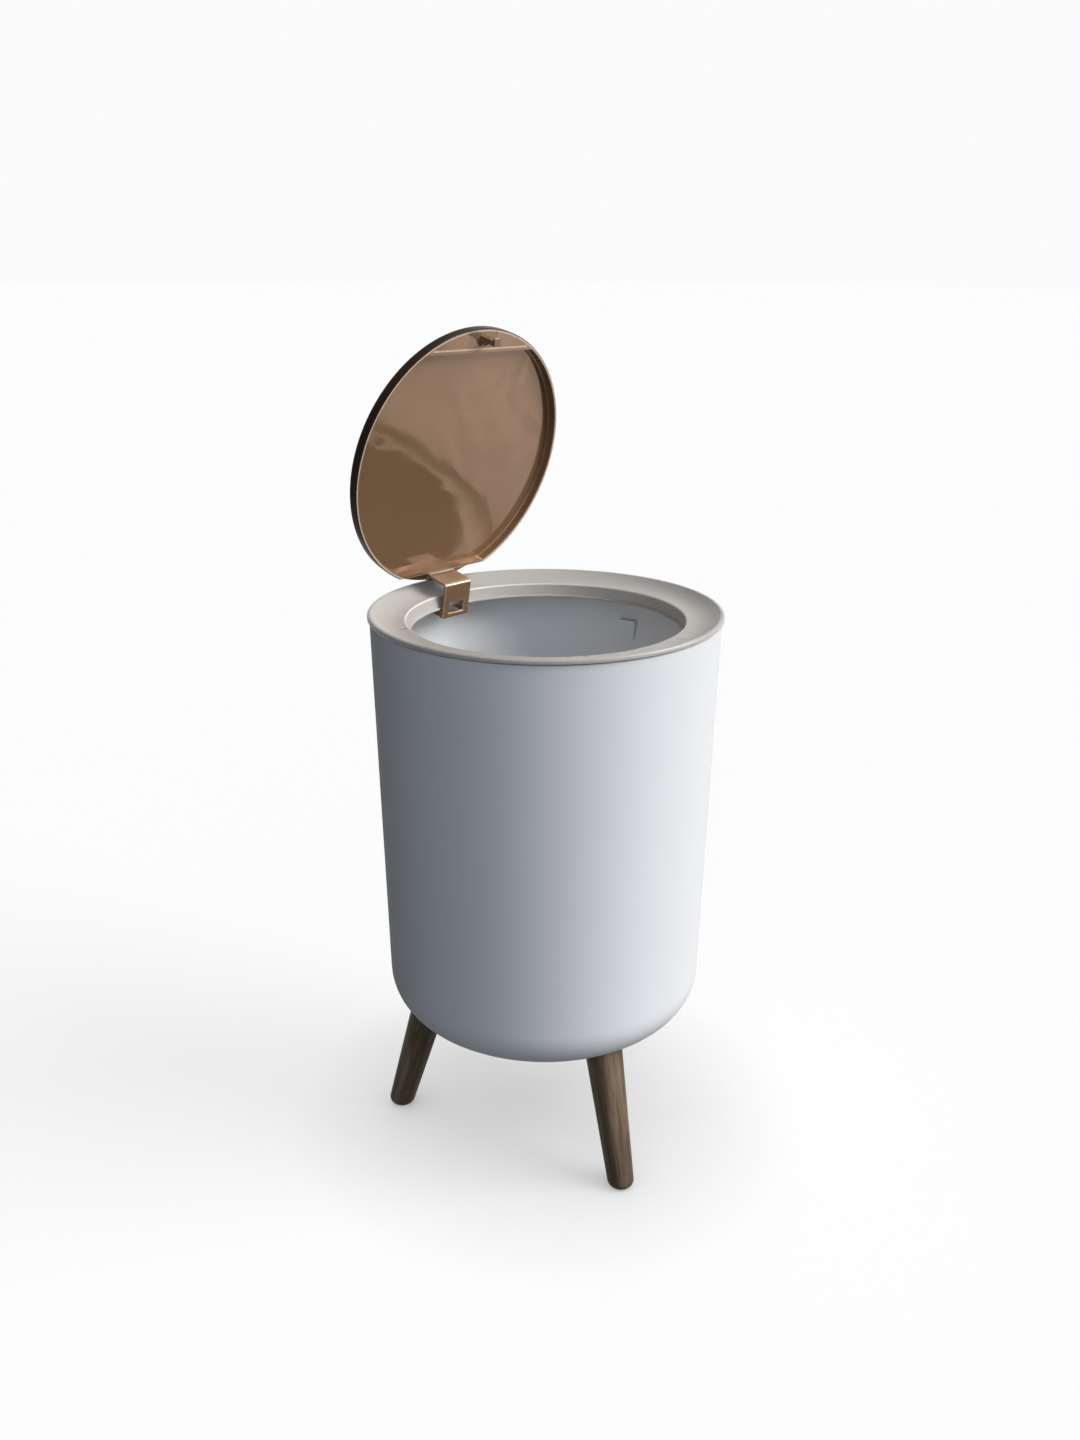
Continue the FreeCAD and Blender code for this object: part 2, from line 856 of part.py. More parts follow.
def latch_claw():
    """A hook over the peg's nose and a tail under its tip, drawn hooked and turned open."""
    finger_low = peg_tip + peg_nose_height + claw_gap
    finger_high = finger_low + claw_finger_height
    finger_tip = nose_radius - claw_finger_lap
    arm_inner = nose_radius + claw_side_gap
    arm_outer = arm_inner + claw_arm
    half = claw_width / 2
    hook = prism(
        [
            claw_in_yz(arm_inner, claw_pivot_z),
            claw_in_yz(arm_inner, finger_low) + (small_round,),
            claw_in_yz(finger_tip, finger_low) + (small_round,),
            claw_in_yz(finger_tip, finger_high) + (small_round,),
            claw_in_yz(arm_outer, finger_high) + (small_round,),
            claw_in_yz(claw_pivot_radius + claw_half, claw_pivot_z),
        ],
        -half,
        half,
    )
    eye = rod_x(claw_half, -half, half, -claw_pivot_radius, claw_pivot_z)
    tail_tip = claw_pivot_radius - tail_lever
    tail_low = claw_pivot_z + tail_offset - claw_tail_thick
    tail_high = claw_pivot_z + tail_offset
    tail = prism(
        [
            claw_in_yz(claw_pivot_radius, tail_low),
            claw_in_yz(tail_tip, tail_low) + (small_round,),
            claw_in_yz(tail_tip, tail_high) + (small_round,),
            claw_in_yz(claw_pivot_radius, tail_high),
        ],
        -half,
        half,
    )
    claw = joined(hook, eye, tail)
    hole_half = claw_pin_half + pin_clearance
    claw = claw.cut(rod_x(hole_half, -half - past, half + past, -claw_pivot_radius, claw_pivot_z))
    claw.rotate(V(0, -claw_pivot_radius, claw_pivot_z), ALONG_X, claw_swing)
    return claw


def latch_housing():
    """An open-topped box that carries the claw, hung from the ring by a flange."""
    half = housing_width / 2
    flange_bottom = flange_top - flange_thick
    shell = block(V(-half, -housing_outer, housing_bottom), V(half, -housing_inner, flange_top))
    flange_reach = screw_radius + boss_half
    flange = block(
        V(-flange_width / 2, -flange_reach, flange_bottom),
        V(flange_width / 2, housing_wall - housing_outer, flange_top),
    )
    body = joined(shell, flange)
    hollow = block(
        V(housing_wall - half, housing_wall - housing_outer, housing_bottom + housing_wall),
        V(half - housing_wall, -housing_inner - housing_wall, flange_top + past),
    )
    lip = lid_rim_height - housing_lip_drop
    entry = block(
        V(-half - past, -housing_inner - housing_wall, lip),
        V(half + past, past - housing_inner, flange_top + past),
    )
    mouth_room = block(
        V(-half - past, -mouth_radius - ring_skin - past, flange_bottom),
        V(half + past, 0, flange_top + past),
    )
    body = body.cut(hollow).cut(entry).cut(mouth_room)
    pin_hole = rod_x(
        claw_pin_half + pin_clearance, -half - past, half + past, -claw_pivot_radius, claw_pivot_z
    )
    body = body.cut(pin_hole)
    for side in (-1, 1):
        hole = Part.makeCylinder(
            screw_half + screw_hole_clearance,
            flange_thick,
            screw_place(side) - ALONG_Z * flange_thick,
            ALONG_Z,
        )
        body = body.cut(hole)
    return body


def latch_pin():
    half = housing_width / 2
    return rod_x(claw_pin_half, -half, half, -claw_pivot_radius, claw_pivot_z)


def latch_spring():
    """A compression spring between the housing's floor and the claw's tail."""
    swing = math.radians(claw_swing)
    outer_half = latch_spring_half + latch_spring_wire / 2
    radius = housing_inner + housing_wall + spring_gap + outer_half
    under = tail_offset - claw_tail_thick
    lever = (claw_pivot_radius - radius - outer_half + under * math.sin(swing)) / math.cos(swing)
    tail_under = claw_pivot_z + lever * math.sin(swing) + under * math.cos(swing)
    low = housing_bottom + housing_wall + spring_gap + latch_spring_wire / 2
    high = tail_under - spring_gap - latch_spring_wire / 2
    sweep = full_turn * latch_spring_turns
    edges, start, start_way = coil(
        V(0, -radius, low), ALONG_Z, ALONG_X, latch_spring_half, high - low, 0.0, sweep
    )[:3]
    turn_length = 2 * math.pi * latch_spring_half
    return wound(edges, start, start_way, latch_spring_wire, turn_length, "latch_spring")


def latch_screw(side):
    """A pan-head screw up through the flange into the ring's boss."""
    under = screw_place(side) - ALONG_Z * flange_thick
    length = flange_thick + screw_engaged - fastener_clearance
    shank = Part.makeCylinder(screw_half, length, under, ALONG_Z)
    head = Part.makeCylinder(
        screw_head_half, screw_head_height, under - ALONG_Z * screw_head_height, ALONG_Z
    )
    rim = [edge for edge in head.Edges if edge.BoundBox.ZMax < under.z - screw_head_height / 2]
    head = head.makeFillet(screw_head_round, rim)
    return joined(head, shank)


# Writing the pieces


def grouped(solids):
    """Separate identical solids in one node."""
    return Part.makeCompound(solids)


def all_pieces():
    pieces = {
        "barrel": barrel(),
        "press_ring": press_ring(),
        "lid": opened(lid()),
        "lid_striker": opened(striker()),
        "hinge_arm": opened(hinge_arm()),
        "hinge_pin": hinge_pin(),
        "hinge_pin_clip": pin_clip(),
        "lid_spring": lid_spring(),
        "latch_housing": latch_housing(),
        "latch_claw": latch_claw(),
        "latch_pin": latch_pin(),
        "latch_spring": latch_spring(),
        "latch_screws": grouped([latch_screw(side) for side in (-1, 1)]),
        "leg_studs": grouped([about_axis(leg_stud(), azimuth) for azimuth in leg_azimuths]),
        "leg_inserts": grouped([about_axis(leg_insert(), azimuth) for azimuth in leg_azimuths]),
    }
    one_leg = leg()
    for name, azimuth in zip(leg_names, leg_azimuths):
        pieces[name] = about_axis(one_leg, azimuth)
    return pieces


def main():
    os.makedirs("parts", exist_ok=True)
    for name, shape in all_pieces().items():
        single(shape).exportStep(os.path.join("parts", name + ".step"))
        print(name, len(shape.Solids), "solids, valid", shape.isValid(), "volume", round(shape.Volume))


main()
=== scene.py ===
import json
import math

import bmesh
import bpy
from mathutils import Matrix, Vector

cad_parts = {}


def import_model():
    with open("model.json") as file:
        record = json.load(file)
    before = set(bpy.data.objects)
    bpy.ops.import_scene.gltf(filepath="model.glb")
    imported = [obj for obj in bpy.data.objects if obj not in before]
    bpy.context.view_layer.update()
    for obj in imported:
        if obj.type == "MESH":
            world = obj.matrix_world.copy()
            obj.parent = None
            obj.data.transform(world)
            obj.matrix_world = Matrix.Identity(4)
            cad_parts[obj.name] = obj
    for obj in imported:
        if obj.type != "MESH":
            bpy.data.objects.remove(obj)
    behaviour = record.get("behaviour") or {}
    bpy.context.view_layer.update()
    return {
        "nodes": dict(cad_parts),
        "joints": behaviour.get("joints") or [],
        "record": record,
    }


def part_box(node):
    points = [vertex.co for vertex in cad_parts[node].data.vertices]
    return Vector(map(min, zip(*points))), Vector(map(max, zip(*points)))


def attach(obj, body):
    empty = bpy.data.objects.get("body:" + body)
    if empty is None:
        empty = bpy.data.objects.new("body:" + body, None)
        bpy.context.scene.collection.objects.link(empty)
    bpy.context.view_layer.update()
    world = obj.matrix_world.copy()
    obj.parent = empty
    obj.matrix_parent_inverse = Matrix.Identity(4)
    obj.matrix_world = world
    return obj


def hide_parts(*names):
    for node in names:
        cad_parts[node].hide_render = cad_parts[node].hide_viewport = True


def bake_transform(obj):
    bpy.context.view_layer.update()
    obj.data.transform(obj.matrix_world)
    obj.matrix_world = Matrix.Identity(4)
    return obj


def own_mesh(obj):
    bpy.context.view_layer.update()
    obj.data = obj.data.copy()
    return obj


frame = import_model()
nodes = frame["nodes"]
joints = {joint["name"]: joint for joint in frame["joints"]}
feet = {mount["name"]: Vector(mount["pos_m"]) for mount in frame["record"]["mounts"]}

# A round waste bin on three wooden legs, with its lid standing open. The hinge is at +Y and the
# latch at -Y. Lengths are in metres, and angles in degrees where a name ends in deg.

# Camera, worked out from the photograph
camera_distance = 0.85035
camera_height = 0.61755
camera_round_deg = 46.96
camera_pitch_deg = 19.59
camera_roll_deg = 0.18
camera_yaw_deg = -0.25
camera_lens_mm = 32.4

# Colours
white = (1.0, 1.0, 1.0)
barrel_white = (0.81, 0.813, 0.817)
ring_grey = (0.48, 0.452, 0.415)
latch_grey = (0.42, 0.4, 0.37)
claw_ivory = (0.66, 0.63, 0.56)
bronze_dark = (0.172, 0.099, 0.05)
bronze_light = (0.192, 0.112, 0.058)
bronze_tint = (1.0, 0.63, 0.43)
arm_tint = (1.0, 0.84, 0.7)
skirt_dark = (0.035, 0.022, 0.015)
lid_edge_painted_highlight = (0.56, 0.43, 0.32)
painted_edge_highlight_dark = (0.27, 0.175, 0.105)
painted_edge_highlight_light = (0.4, 0.28, 0.19)
wood_dark = (0.045, 0.031, 0.018)
wood_middle = (0.105, 0.075, 0.045)
wood_light = (0.225, 0.162, 0.104)
wood_pore = (0.45, 0.42, 0.4)
brass_yellow = (0.72, 0.56, 0.26)
steel_grey = (0.62, 0.62, 0.61)

# Lid: how far it stands open, its rim's height when closed, and where its surface changes
lid_open_deg = 74.6
lid_rim_height = 0.3833
lid_front_segment = 0.0139
lid_rear_segment = 0.0095
lid_skin = 0.0005
# Width of the painted highlight lines along the lid's rim and chords
lid_highlight_line = 0.0007
lid_floor_depth = 0.0065
lid_top_depth = 0.0085
lid_inside_rough = 0.09
lid_top_rough = 0.36
lid_top_shine = 0.25
lid_skirt_shine = 0.03

# Hinge arm and peg plate
arm_rough = 0.2
arm_shine = 0.7

# Ring, with a painted highlight line round its mouth's edge
ring_shine = 0.2
mouth_radius = 0.0945
mouth_edge_height = 0.3891
mouth_highlight_width = 0.0008
mouth_highlight_gain = 1.5

# Painted shade in the moulded plastic: its colour is darkened in creases and close to other parts
painted_crease_shade_reach = 0.003
painted_crease_shade_level = 0.45
shade_samples = 8

# Legs: how far they lean out, and how much their grain is drawn out along them
leg_splay_deg = 15.7
grain_squeeze = 0.06

# Softened edges
arm_edge = 0.0008
striker_edge = 0.0003
latch_edge = 0.0003
edge_steps = 3
flat_angle_deg = 1.0
sharp_angle_deg = 32.0
weld_distance = 1e-6

# Light
key_level = 3.65
key_spread_deg = 40.0
key_side_deg = 80.0
key_height_deg = 36.0
fill_level = 1.2
fill_spread_deg = 90.0
fill_side_deg = 8.0
fill_height_deg = 10.0
fill_colour = (0.87, 0.97, 1.13)
back_level = 1.7
back_spread_deg = 24.0
back_side_deg = 180.0
back_height_deg = 3.0
glint_level = 4.0
glint_spread_deg = 30.0
glint_side_deg = 94.0
glint_height_deg = 28.0
world_level = 0.01
world_tint = (0.9, 0.98, 1.1)
seen_level = 0.96

# Card that shows in glossy surfaces
card_place = (1.2, -0.82, 0.01)
card_reach = 0.95
card_sides = 64
card_gain = 1.25
card_cloud_scale = 3.0
card_cloud_low = 0.4
card_cloud_high = 1.6

# Floor, with a painted shadow close under the bin
floor_reach = 30.0
floor_squares = 8
floor_colour = 0.2
floor_bounce = 0.09
floor_lift = 0.81
floor_painted_shade = 0.72
floor_painted_shade_reach = 0.14


# Node graphs


class Graph:
    """The nodes of a material or a world, with short calls to add and join them."""

    def __init__(self, owner, shader="Principled BSDF"):
        owner.use_nodes = True
        self.owner = owner
        self.tree = owner.node_tree
        self.shader = self.tree.nodes[shader]

    def feed(self, socket, value):
        if isinstance(value, bpy.types.NodeSocket):
            self.tree.links.new(value, socket)
        else:
            socket.default_value = value

    def add(self, kind, inputs=None, **settings):
        node = self.tree.nodes.new("ShaderNode" + kind)
        for name, value in settings.items():
            setattr(node, name, value)
        for name, value in (inputs or {}).items():
            self.feed(node.inputs[name], value)
        return node

    def set(self, **values):
        """Values for the main shader, its names written with underscores."""
        for name, value in values.items():
            self.feed(self.shader.inputs[name.replace("_", " ")], value)

    def place(self):
        return self.add("TexCoord").outputs["Object"]

    def local_place(self, origin, turn):
        """Places seen from another origin and turned axes."""
        inputs = {"Vector": self.place(), "Location": origin, "Rotation": turn}
        return self.add("Mapping", inputs, vector_type="TEXTURE").outputs["Vector"]

    def axis_distance(self, place):
        """Distance from the Z axis."""
        flat = self.add("VectorMath", {0: place, 1: (1.0, 1.0, 0.0)}, operation="MULTIPLY")
        length = self.add("VectorMath", {0: flat.outputs["Vector"]}, operation="LENGTH")
        return length.outputs["Value"]

    def parts(self, place):
        """The X, Y and Z of a place."""
        return self.add("SeparateXYZ", {"Vector": place}).outputs

    def noise(self, vector, scale, detail=2.0, roughness=0.5, distortion=0.0):
        node = self.add(
            "TexNoise",
            {
                "Vector": vector,
                "Scale": scale,
                "Detail": detail,
                "Roughness": roughness,
                "Distortion": distortion,
            },
        )
        return node.outputs["Fac"]

    def ramp(self, value, *stops):
        """A colour or grey for each place along a value."""
        node = self.add("ValToRGB", {"Fac": value})
        elements = node.color_ramp.elements
        while len(elements) < len(stops):
            elements.new(0.5)
        for element, (place, colour) in zip(elements, stops):
            element.position = place
            element.color = (*colour, 1.0)
        return node.outputs["Color"]

    def spread(self, value, low, high, from_low=0.3, from_high=0.7):
        """A value moved from one range to another."""
        node = self.add(
            "MapRange",
            {
                "Value": value,
                "From Min": from_low,
                "From Max": from_high,
                "To Min": low,
                "To Max": high,
            },
        )
        return node.outputs["Result"]

    def math(self, operation, first, second=0.0):
        return self.add("Math", {0: first, 1: second}, operation=operation).outputs[0]

    def band(self, value, middle, half, core=0.6):
        """One near a value, and nothing further than half a width from it."""
        away = self.math("ABSOLUTE", self.math("SUBTRACT", value, middle))
        return self.spread(away, 1.0, 0.0, core * half, half)

    def mix(self, share, first, second, blend="MIX"):
        node = self.add("Mix", data_type="RGBA", blend_type=blend)
        self.feed(node.inputs[0], share)
        self.feed(node.inputs[6], first)
        self.feed(node.inputs[7], second)
        return node.outputs[2]

    def lay_over(self, share, colour):
        """Covers the main shader's linked colour with another one."""
        under = self.shader.inputs["Base Color"].links[0].from_socket
        self.set(Base_Color=self.mix(share, under, rgb(colour)))

    def bump(self, height, strength, depth, under=None):
        node = self.add("Bump", {"Height": height, "Strength": strength, "Distance": depth})
        if under is not None:
            self.feed(node.inputs["Normal"], under)
        return node.outputs["Normal"]

    def openness(self, reach):
        """One in the open, and less where something stands within reach."""
        node = self.add("AmbientOcclusion", {"Distance": reach}, samples=shade_samples)
        return node.outputs["AO"]

    def seen(self):
        """One for rays from the camera, from gloss and through glass, and nothing for others."""
        rays = self.add("LightPath").outputs
        mirrored = self.math("MAXIMUM", rays["Is Camera Ray"], rays["Is Glossy Ray"])
        return self.math("MAXIMUM", mirrored, rays["Is Transmission Ray"])


def rgb(colour):
    return (*colour, 1.0)


def grey(level):
    return (level, level, level, 1.0)


def shade(colour, factor):
    return tuple(channel * factor for channel in colour)


# Materials


def moulded_plastic(name, colour, mottle, rough, grain_size, grain_depth, clouds=14.0):
    """Moulded plastic: cloudy colour, painted shade in creases, uneven gloss and an even fine
    grain.
    """
    graph = Graph(bpy.data.materials.new(name))
    place = graph.place()
    cloud = graph.noise(place, clouds, detail=4.0, roughness=0.6)
    body = graph.ramp(cloud, (0.3, shade(colour, 1.0 - mottle)), (0.7, shade(colour, 1.0 + mottle)))
    # Painted shade: the colour is darkened where ambient occlusion finds creases and nearby parts.
    dim = shade(white, painted_crease_shade_level)
    painted_crease_shade = graph.ramp(graph.openness(painted_crease_shade_reach), (0.1, dim), (0.75, white))
    graph.set(Base_Color=graph.mix(1.0, body, painted_crease_shade, "MULTIPLY"))
    patches = graph.noise(place, scale=4.0 * clouds, detail=3.0)
    graph.set(Roughness=graph.spread(patches, rough - 0.05, rough + 0.05))
    grain = graph.noise(place, scale=1.0 / grain_size, detail=2.0, roughness=0.65)
    graph.set(Normal=graph.bump(grain, strength=0.35, depth=grain_depth))
    return graph


def barrel_material():
    graph = moulded_plastic(
        "barrel_white",
        barrel_white,
        mottle=0.01,
        rough=0.6,
        grain_size=0.0008,
        grain_depth=0.00004,
    )
    graph.set(Specular_IOR_Level=0.02)
    return graph.owner


def ring_material():
    graph = moulded_plastic(
        "ring_grey",
        ring_grey,
        mottle=0.012,
        rough=0.32,
        grain_size=0.0004,
        grain_depth=0.000001,
    )
    place = graph.place()
    # Painted highlight: a lighter line round the mouth's edge, on its inner side.
    inside = graph.math("LESS_THAN", graph.axis_distance(place), mouth_radius + mouth_highlight_width)
    edge = graph.band(graph.parts(place)["Z"], mouth_edge_height, mouth_highlight_width)
    graph.lay_over(graph.math("MULTIPLY", edge, inside), shade(ring_grey, mouth_highlight_gain))
    graph.set(Specular_IOR_Level=ring_shine)
    return graph.owner


def latch_material():
    graph = moulded_plastic(
        "latch_grey",
        latch_grey,
        mottle=0.03,
        rough=0.45,
        grain_size=0.0005,
        grain_depth=0.00003,
        clouds=60.0,
    )
    return graph.owner


def claw_material():
    graph = moulded_plastic(
        "claw_ivory",
        claw_ivory,
        mottle=0.03,
        rough=0.4,
        grain_size=0.0005,
        grain_depth=0.00002,
        clouds=60.0,
    )
    return graph.owner


def bronze(graph, rough):
    """Glossy bronze plastic, a little wavy from moulding."""
    place = graph.place()
    clouds = graph.noise(place, scale=11.0, detail=3.0, roughness=0.55, distortion=0.4)
    graph.set(Base_Color=graph.ramp(clouds, (0.3, bronze_dark), (0.7, bronze_light)))
    smears = graph.noise(place, scale=46.0, detail=3.0)
    graph.set(Roughness=graph.math("ADD", graph.spread(smears, low=-0.03, high=0.04), rough))
    graph.set(Specular_IOR_Level=1.0, Specular_Tint=rgb(bronze_tint))
    swell = graph.noise(place, scale=17.0, detail=2.0, roughness=0.45, distortion=0.6)
    wavy = graph.bump(swell, strength=0.6, depth=0.0022)
    grain = graph.noise(place, scale=1500.0, detail=1.0)
    graph.set(Normal=graph.bump(grain, strength=0.1, depth=0.00002, under=wavy))


def lid_place(graph):
    """Places on the lid as if it lay closed, from the middle of its rim."""
    pivot = Vector(joints["lid_hinge"]["pos_m"])
    tilt = Matrix.Rotation(math.radians(-lid_open_deg), 3, "X")
    middle = pivot + tilt @ (Vector((0, 0, lid_rim_height)) - pivot)
    return graph.local_place(middle, tilt.to_euler())


def lid_material():
    """Bronze that is glossy inside, satin on top and dark round its skirt, with painted highlights
    along its rim and chord edges.
    """
    graph = Graph(bpy.data.materials.new("lid_bronze"))
    low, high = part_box("lid")
    radius = (high.x - low.x) / 2
    place = lid_place(graph)
    out = graph.axis_distance(place)
    parts = graph.parts(place)
    across = parts["Y"]
    depth = parts["Z"]
    top = graph.spread(depth, 0.0, 1.0, lid_floor_depth, lid_top_depth - lid_skin)
    bronze(graph, graph.spread(top, lid_inside_rough, lid_top_rough, 0.0, 1.0))
    skirt = graph.spread(out, 0.0, 1.0, radius - 2 * lid_skin, radius - lid_skin)
    graph.lay_over(skirt, skirt_dark)
    # Painted highlights: lighter lines along the rim and the chord edges.
    rim = graph.band(out, radius - lid_skin - lid_highlight_line, lid_highlight_line)
    front = graph.band(across, lid_front_segment - radius - lid_highlight_line / 2, lid_highlight_line)
    rear = graph.band(across, radius - lid_rear_segment + lid_highlight_line / 2, lid_highlight_line)
    inside = graph.math("LESS_THAN", out, radius - lid_skin - 3 * lid_highlight_line)
    chords = graph.math("MULTIPLY", graph.math("MAXIMUM", front, rear), inside)
    edges = graph.math("MAXIMUM", rim, chords)
    edges = graph.math("MULTIPLY", edges, graph.band(depth, 0.0, 2 * lid_highlight_line))
    graph.lay_over(edges, lid_edge_painted_highlight)
    shine = graph.spread(skirt, 1.0, lid_skirt_shine, 0.0, 1.0)
    shine = graph.math("MULTIPLY", shine, graph.spread(top, 1.0, lid_top_shine, 0.0, 1.0))
    graph.set(Specular_IOR_Level=shine)
    return graph.owner


def arm_material():
    graph = Graph(bpy.data.materials.new("arm_bronze"))
    bronze(graph, arm_rough)
    graph.set(Specular_IOR_Level=arm_shine, Specular_Tint=rgb(arm_tint))
    return graph.owner


def edge_highlight_material():
    """The same bronze with a painted highlight where its edges are bevelled: lighter in colour and
    glossier.
    """
    graph = Graph(bpy.data.materials.new("edge_highlight_bronze"))
    highlight_mottle = graph.noise(graph.place(), scale=70.0, detail=3.0, roughness=0.6)
    graph.set(Base_Color=graph.ramp(highlight_mottle, (0.3, painted_edge_highlight_dark), (0.7, painted_edge_highlight_light)))
    graph.set(Roughness=graph.spread(highlight_mottle, low=0.3, high=0.2), Specular_IOR_Level=0.6)
    return graph.owner


def wood_material(name, foot):
    """Dark stained wood with its grain along one leg."""
    graph = Graph(bpy.data.materials.new(name))
    inward = Vector((-foot.x, -foot.y, 0)).normalized()
    splay = math.radians(leg_splay_deg)
    along = inward * math.sin(splay) + Vector((0, 0, math.cos(splay)))
    local = graph.local_place(foot, along.to_track_quat("Z", "Y").to_euler())
    drawn = graph.add("Mapping", {"Vector": local, "Scale": (1.0, 1.0, grain_squeeze)})
    drawn = drawn.outputs["Vector"]
    drift = graph.noise(drawn, scale=90.0, detail=3.0, roughness=0.6)
    bands = graph.ramp(drift, (0.32, wood_dark), (0.5, wood_middle), (0.66, wood_light))
    fibre = graph.noise(drawn, scale=620.0, detail=3.0, roughness=0.7)
    pores = graph.ramp(fibre, (0.36, wood_pore), (0.52, white))
    graph.set(Base_Color=graph.mix(0.8, bands, pores, "MULTIPLY"))
    graph.set(Roughness=graph.spread(fibre, low=0.66, high=0.5), Specular_IOR_Level=0.15)
    graph.set(Normal=graph.bump(fibre, strength=0.5, depth=0.00022))
    return graph.owner


def metal_material(name, colour, rough):
    """Plain metal with fine uneven brightness."""
    graph = Graph(bpy.data.materials.new(name))
    place = graph.place()
    tint = graph.noise(place, scale=260.0, detail=3.0)
    graph.set(Base_Color=graph.ramp(tint, (0.3, shade(colour, 0.86)), (0.7, colour)))
    fine = graph.noise(place, scale=900.0, detail=2.0)
    graph.set(Roughness=graph.spread(fine, rough - 0.08, rough + 0.1))
    graph.set(Metallic=1.0, Normal=graph.bump(fine, strength=0.15, depth=0.00003))
    return graph.owner


def dress(material, *names):
    for name in names:
        slots = nodes[name].data.materials
        slots.clear()
        slots.append(material)


# Softened edges


def soften(name, width, edge=None):
    """Rounds a node's sharp edges with modifiers, with their own material, such as a painted
    highlight, if one is given.
    """
    node = nodes[name]
    weld = node.modifiers.new("weld", "WELD")
    weld.merge_threshold = weld_distance
    flat = node.modifiers.new("flat", "DECIMATE")
    flat.decimate_type = "DISSOLVE"
    flat.angle_limit = math.radians(flat_angle_deg)
    bevel = node.modifiers.new("bevel", "BEVEL")
    bevel.width = width
    bevel.segments = edge_steps
    bevel.limit_method = "ANGLE"
    bevel.angle_limit = math.radians(sharp_angle_deg)
    bevel.use_clamp_overlap = edge is None
    if edge is not None:
        node.data.materials.append(edge)
        bevel.material = 1
    normals = node.modifiers.new("normals", "WEIGHTED_NORMAL")
    normals.keep_sharp = True


# Springs


def spring_copy(name, node):
    """A spring's wire as a piece that can change shape."""
    piece = bpy.data.objects.new(name, nodes[node].data.copy())
    bpy.context.scene.collection.objects.link(piece)
    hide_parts(node)
    return piece


def lid_spring():
    """The lid spring's wire as a loose copy with its place baked into its mesh. On the bin its
    short end stays with the ring and its long end follows the lid.
    """
    piece = spring_copy("lid_spring_wire", "lid_spring")
    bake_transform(piece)


def latch_spring():
    """The latch spring's wire as a copy with its own mesh, riding with the ring. On the bin it
    shortens as the claw's tail comes down.
    """
    piece = spring_copy("latch_spring_wire", "latch_spring")
    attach(piece, "ring")
    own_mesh(piece)


# Floor, light and camera


def stage_plane(name, material, build):
    """A flat piece of the stage, from a mesh that has just been built."""
    mesh = bpy.data.meshes.new(name)
    build.to_mesh(mesh)
    build.free()
    mesh.materials.append(material)
    plane = bpy.data.objects.new(name, mesh)
    bpy.context.scene.collection.objects.link(plane)
    return plane


def floor():
    """A pale floor that looks white and keeps the bin's cast shadow, with a painted shadow close
    under the bin, but throws little light back.
    """
    graph = Graph(bpy.data.materials.new("floor_white"))
    seen = graph.seen()
    graph.set(Base_Color=graph.mix(seen, grey(floor_bounce), grey(floor_colour)))
    graph.set(Roughness=1.0, Specular_IOR_Level=0.0, Emission_Color=rgb(white))
    # Painted shadow: the floor's glow is dimmed where ambient occlusion finds the bin close by.
    near = graph.openness(floor_painted_shade_reach)
    lift = graph.spread(near, floor_lift * (1.0 - floor_painted_shade), floor_lift, 0.0, 1.0)
    graph.set(Emission_Strength=graph.math("MULTIPLY", seen, lift))
    build = bmesh.new()
    squares = floor_squares
    bmesh.ops.create_grid(build, x_segments=squares, y_segments=squares, size=floor_reach)
    stage_plane("floor", graph.owner, build)


def card():
    """A soft white card on the floor at the right that only shows in glossy surfaces."""
    graph = Graph(bpy.data.materials.new("card_white"))
    place = graph.place()
    away = graph.add("VectorMath", {0: place}, operation="LENGTH").outputs["Value"]
    near = graph.spread(away, card_gain, 0.0, 0.0, card_reach)
    cloud = graph.noise(place, card_cloud_scale, detail=1.0, distortion=1.2)
    cloud = graph.spread(cloud, card_cloud_low, card_cloud_high, from_low=0.35, from_high=0.65)
    glow = graph.math("ADD", graph.math("MULTIPLY", near, cloud), seen_level)
    graph.set(Base_Color=grey(0.0), Specular_IOR_Level=0.0, Emission_Color=rgb(white))
    graph.set(Emission_Strength=glow)
    build = bmesh.new()
    bmesh.ops.create_circle(build, cap_ends=True, segments=card_sides, radius=card_reach)
    plane = stage_plane("card", graph.owner, build)
    plane.location = card_place
    plane.visible_camera = False
    plane.visible_diffuse = False
    plane.visible_shadow = False


def world():
    """White to the eye and in reflections, and a dim cool light on the bin."""
    graph = Graph(bpy.data.worlds.new("studio"), shader="Background")
    dim = shade(world_tint, world_level)
    graph.set(Color=graph.mix(graph.seen(), rgb(dim), grey(seen_level)))
    bpy.context.scene.world = graph.owner


def camera_frame():
    """The camera's right, forward and up directions."""
    turn = Matrix.Rotation(math.radians(-camera_round_deg), 3, "Z")
    yaw = math.radians(camera_yaw_deg)
    pitch = math.radians(camera_pitch_deg)
    roll = math.radians(camera_roll_deg)
    ahead = Vector((math.sin(yaw), math.cos(yaw), 0))
    forward = ahead * math.cos(pitch) - Vector((0, 0, math.sin(pitch)))
    level = Vector((math.cos(yaw), -math.sin(yaw), 0))
    upward = level.cross(forward)
    right = level * math.cos(roll) + upward * math.sin(roll)
    up = upward * math.cos(roll) - level * math.sin(roll)
    return turn @ right, turn @ forward, turn @ up


def camera():
    right, forward, up = camera_frame()
    data = bpy.data.cameras.new("camera")
    data.lens = camera_lens_mm
    made = bpy.data.objects.new("camera", data)
    bpy.context.scene.collection.objects.link(made)
    turn = math.radians(camera_round_deg)
    spot = Vector((-math.sin(turn), -math.cos(turn), 0)) * camera_distance
    spot.z = camera_height
    pose = Matrix((right, up, -forward)).transposed().to_4x4()
    pose.translation = spot
    made.matrix_world = pose
    bpy.context.scene.camera = made


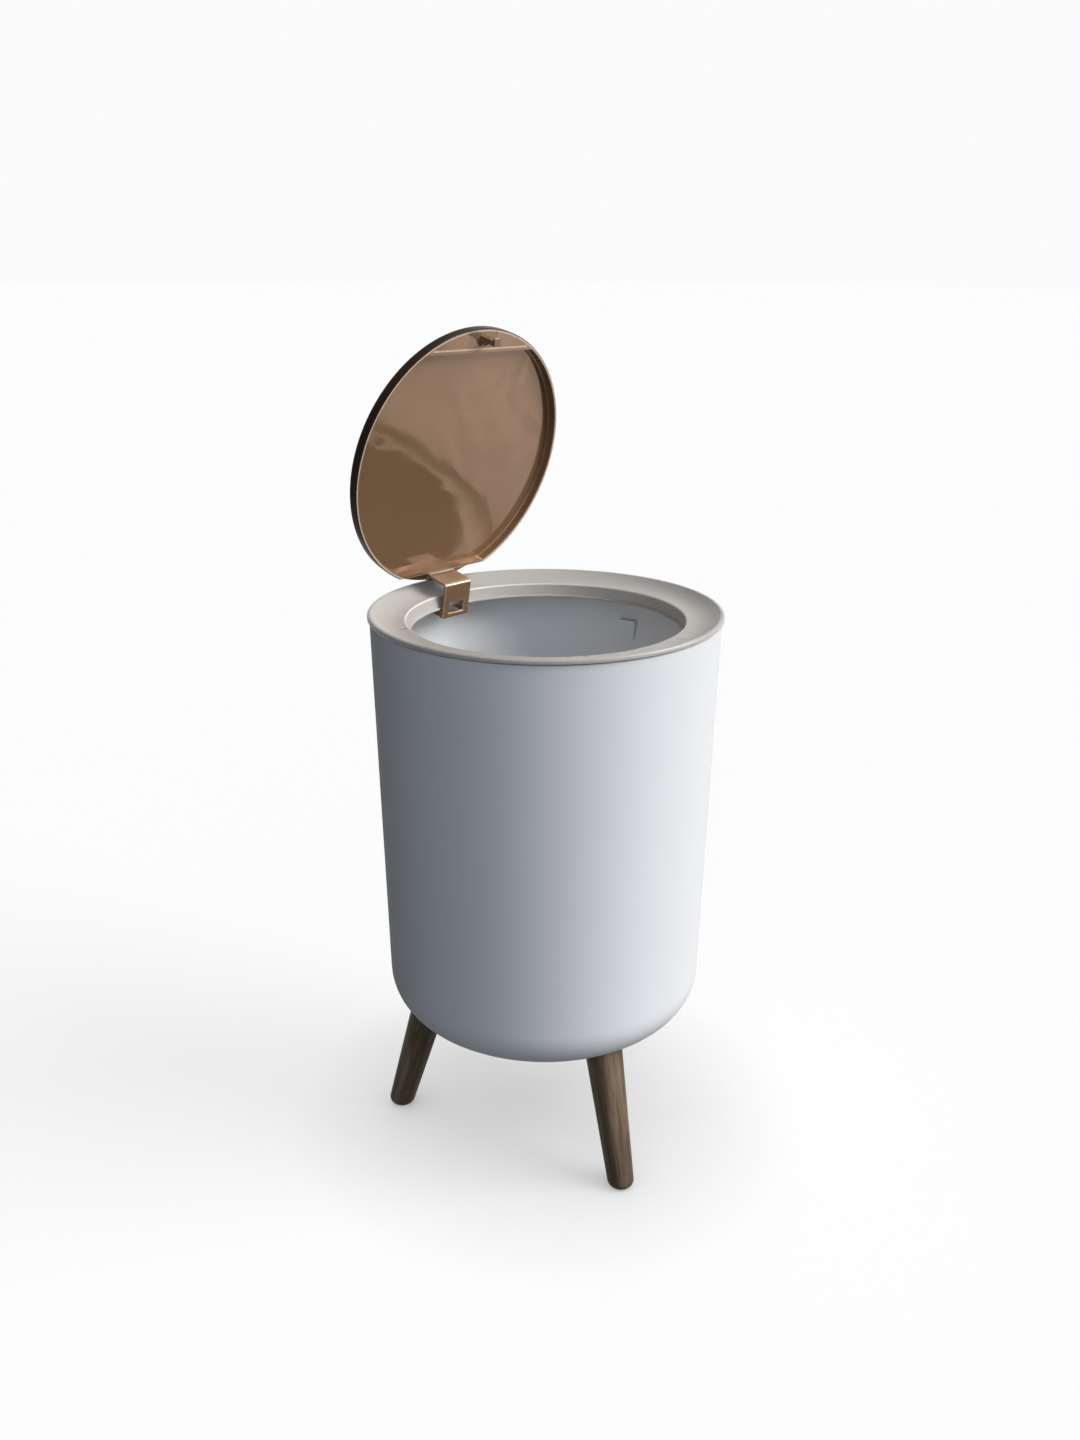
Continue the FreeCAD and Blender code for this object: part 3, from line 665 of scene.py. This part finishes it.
def lamp_side(side_deg, height_deg):
    """A direction given by its angle from the camera's side of the bin and its height."""
    right, forward = camera_frame()[:2]
    near = Vector((-forward.x, -forward.y, 0)).normalized()
    aside = Vector((right.x, right.y, 0)).normalized()
    side = math.radians(side_deg)
    height = math.radians(height_deg)
    level = aside * math.sin(side) + near * math.cos(side)
    return level * math.cos(height) + Vector((0, 0, math.sin(height)))


def soft_sun(name, towards, level, spread_deg, colour=white):
    """An even soft light from one side."""
    data = bpy.data.lights.new(name, "SUN")
    data.energy = level
    data.angle = math.radians(spread_deg)
    data.color = colour
    made = bpy.data.objects.new(name, data)
    made.rotation_mode = "QUATERNION"
    made.rotation_quaternion = towards.to_track_quat("Z", "Y")
    bpy.context.scene.collection.objects.link(made)
    return made


def lights():
    """A soft light from the right, a weaker one from the camera's side and one from behind.

    The one from behind only lights matt surfaces, and a fourth only shows in glossy ones.
    """
    key = lamp_side(key_side_deg, key_height_deg)
    soft_sun("key", key, key_level, key_spread_deg)
    fill = lamp_side(fill_side_deg, fill_height_deg)
    soft_sun("fill", fill, fill_level, fill_spread_deg, fill_colour)
    back = lamp_side(back_side_deg, back_height_deg)
    back_sun = soft_sun("back", back, back_level, back_spread_deg)
    back_sun.visible_glossy = False
    back_sun.data.cycles.use_multiple_importance_sampling = False
    glint = lamp_side(glint_side_deg, glint_height_deg)
    glint_sun = soft_sun("glint", glint, glint_level, glint_spread_deg)
    glint_sun.visible_diffuse = False


# The scene

dress(barrel_material(), "barrel")
dress(ring_material(), "press_ring")
dress(lid_material(), "lid")
dress(arm_material(), "lid_striker", "hinge_arm")
for leg in ("front", "right", "left"):
    dress(wood_material("wood_" + leg, feet["foot_" + leg]), "leg_" + leg)
dress(latch_material(), "latch_housing")
dress(claw_material(), "latch_claw")
dress(metal_material("brass", brass_yellow, rough=0.32), "leg_inserts")
dress(
    metal_material("steel", steel_grey, rough=0.3),
    "hinge_pin",
    "hinge_pin_clip",
    "lid_spring",
    "latch_pin",
    "latch_spring",
    "latch_screws",
    "leg_studs",
)
# The hinge arm's bevelled edges get the painted highlight material.
soften("hinge_arm", arm_edge, edge_highlight_material())
soften("lid_striker", striker_edge)
soften("latch_claw", latch_edge)
soften("latch_housing", latch_edge)
lid_spring()
latch_spring()
floor()
card()
world()
camera()
lights()
bpy.context.scene.view_settings.view_transform = "Standard"
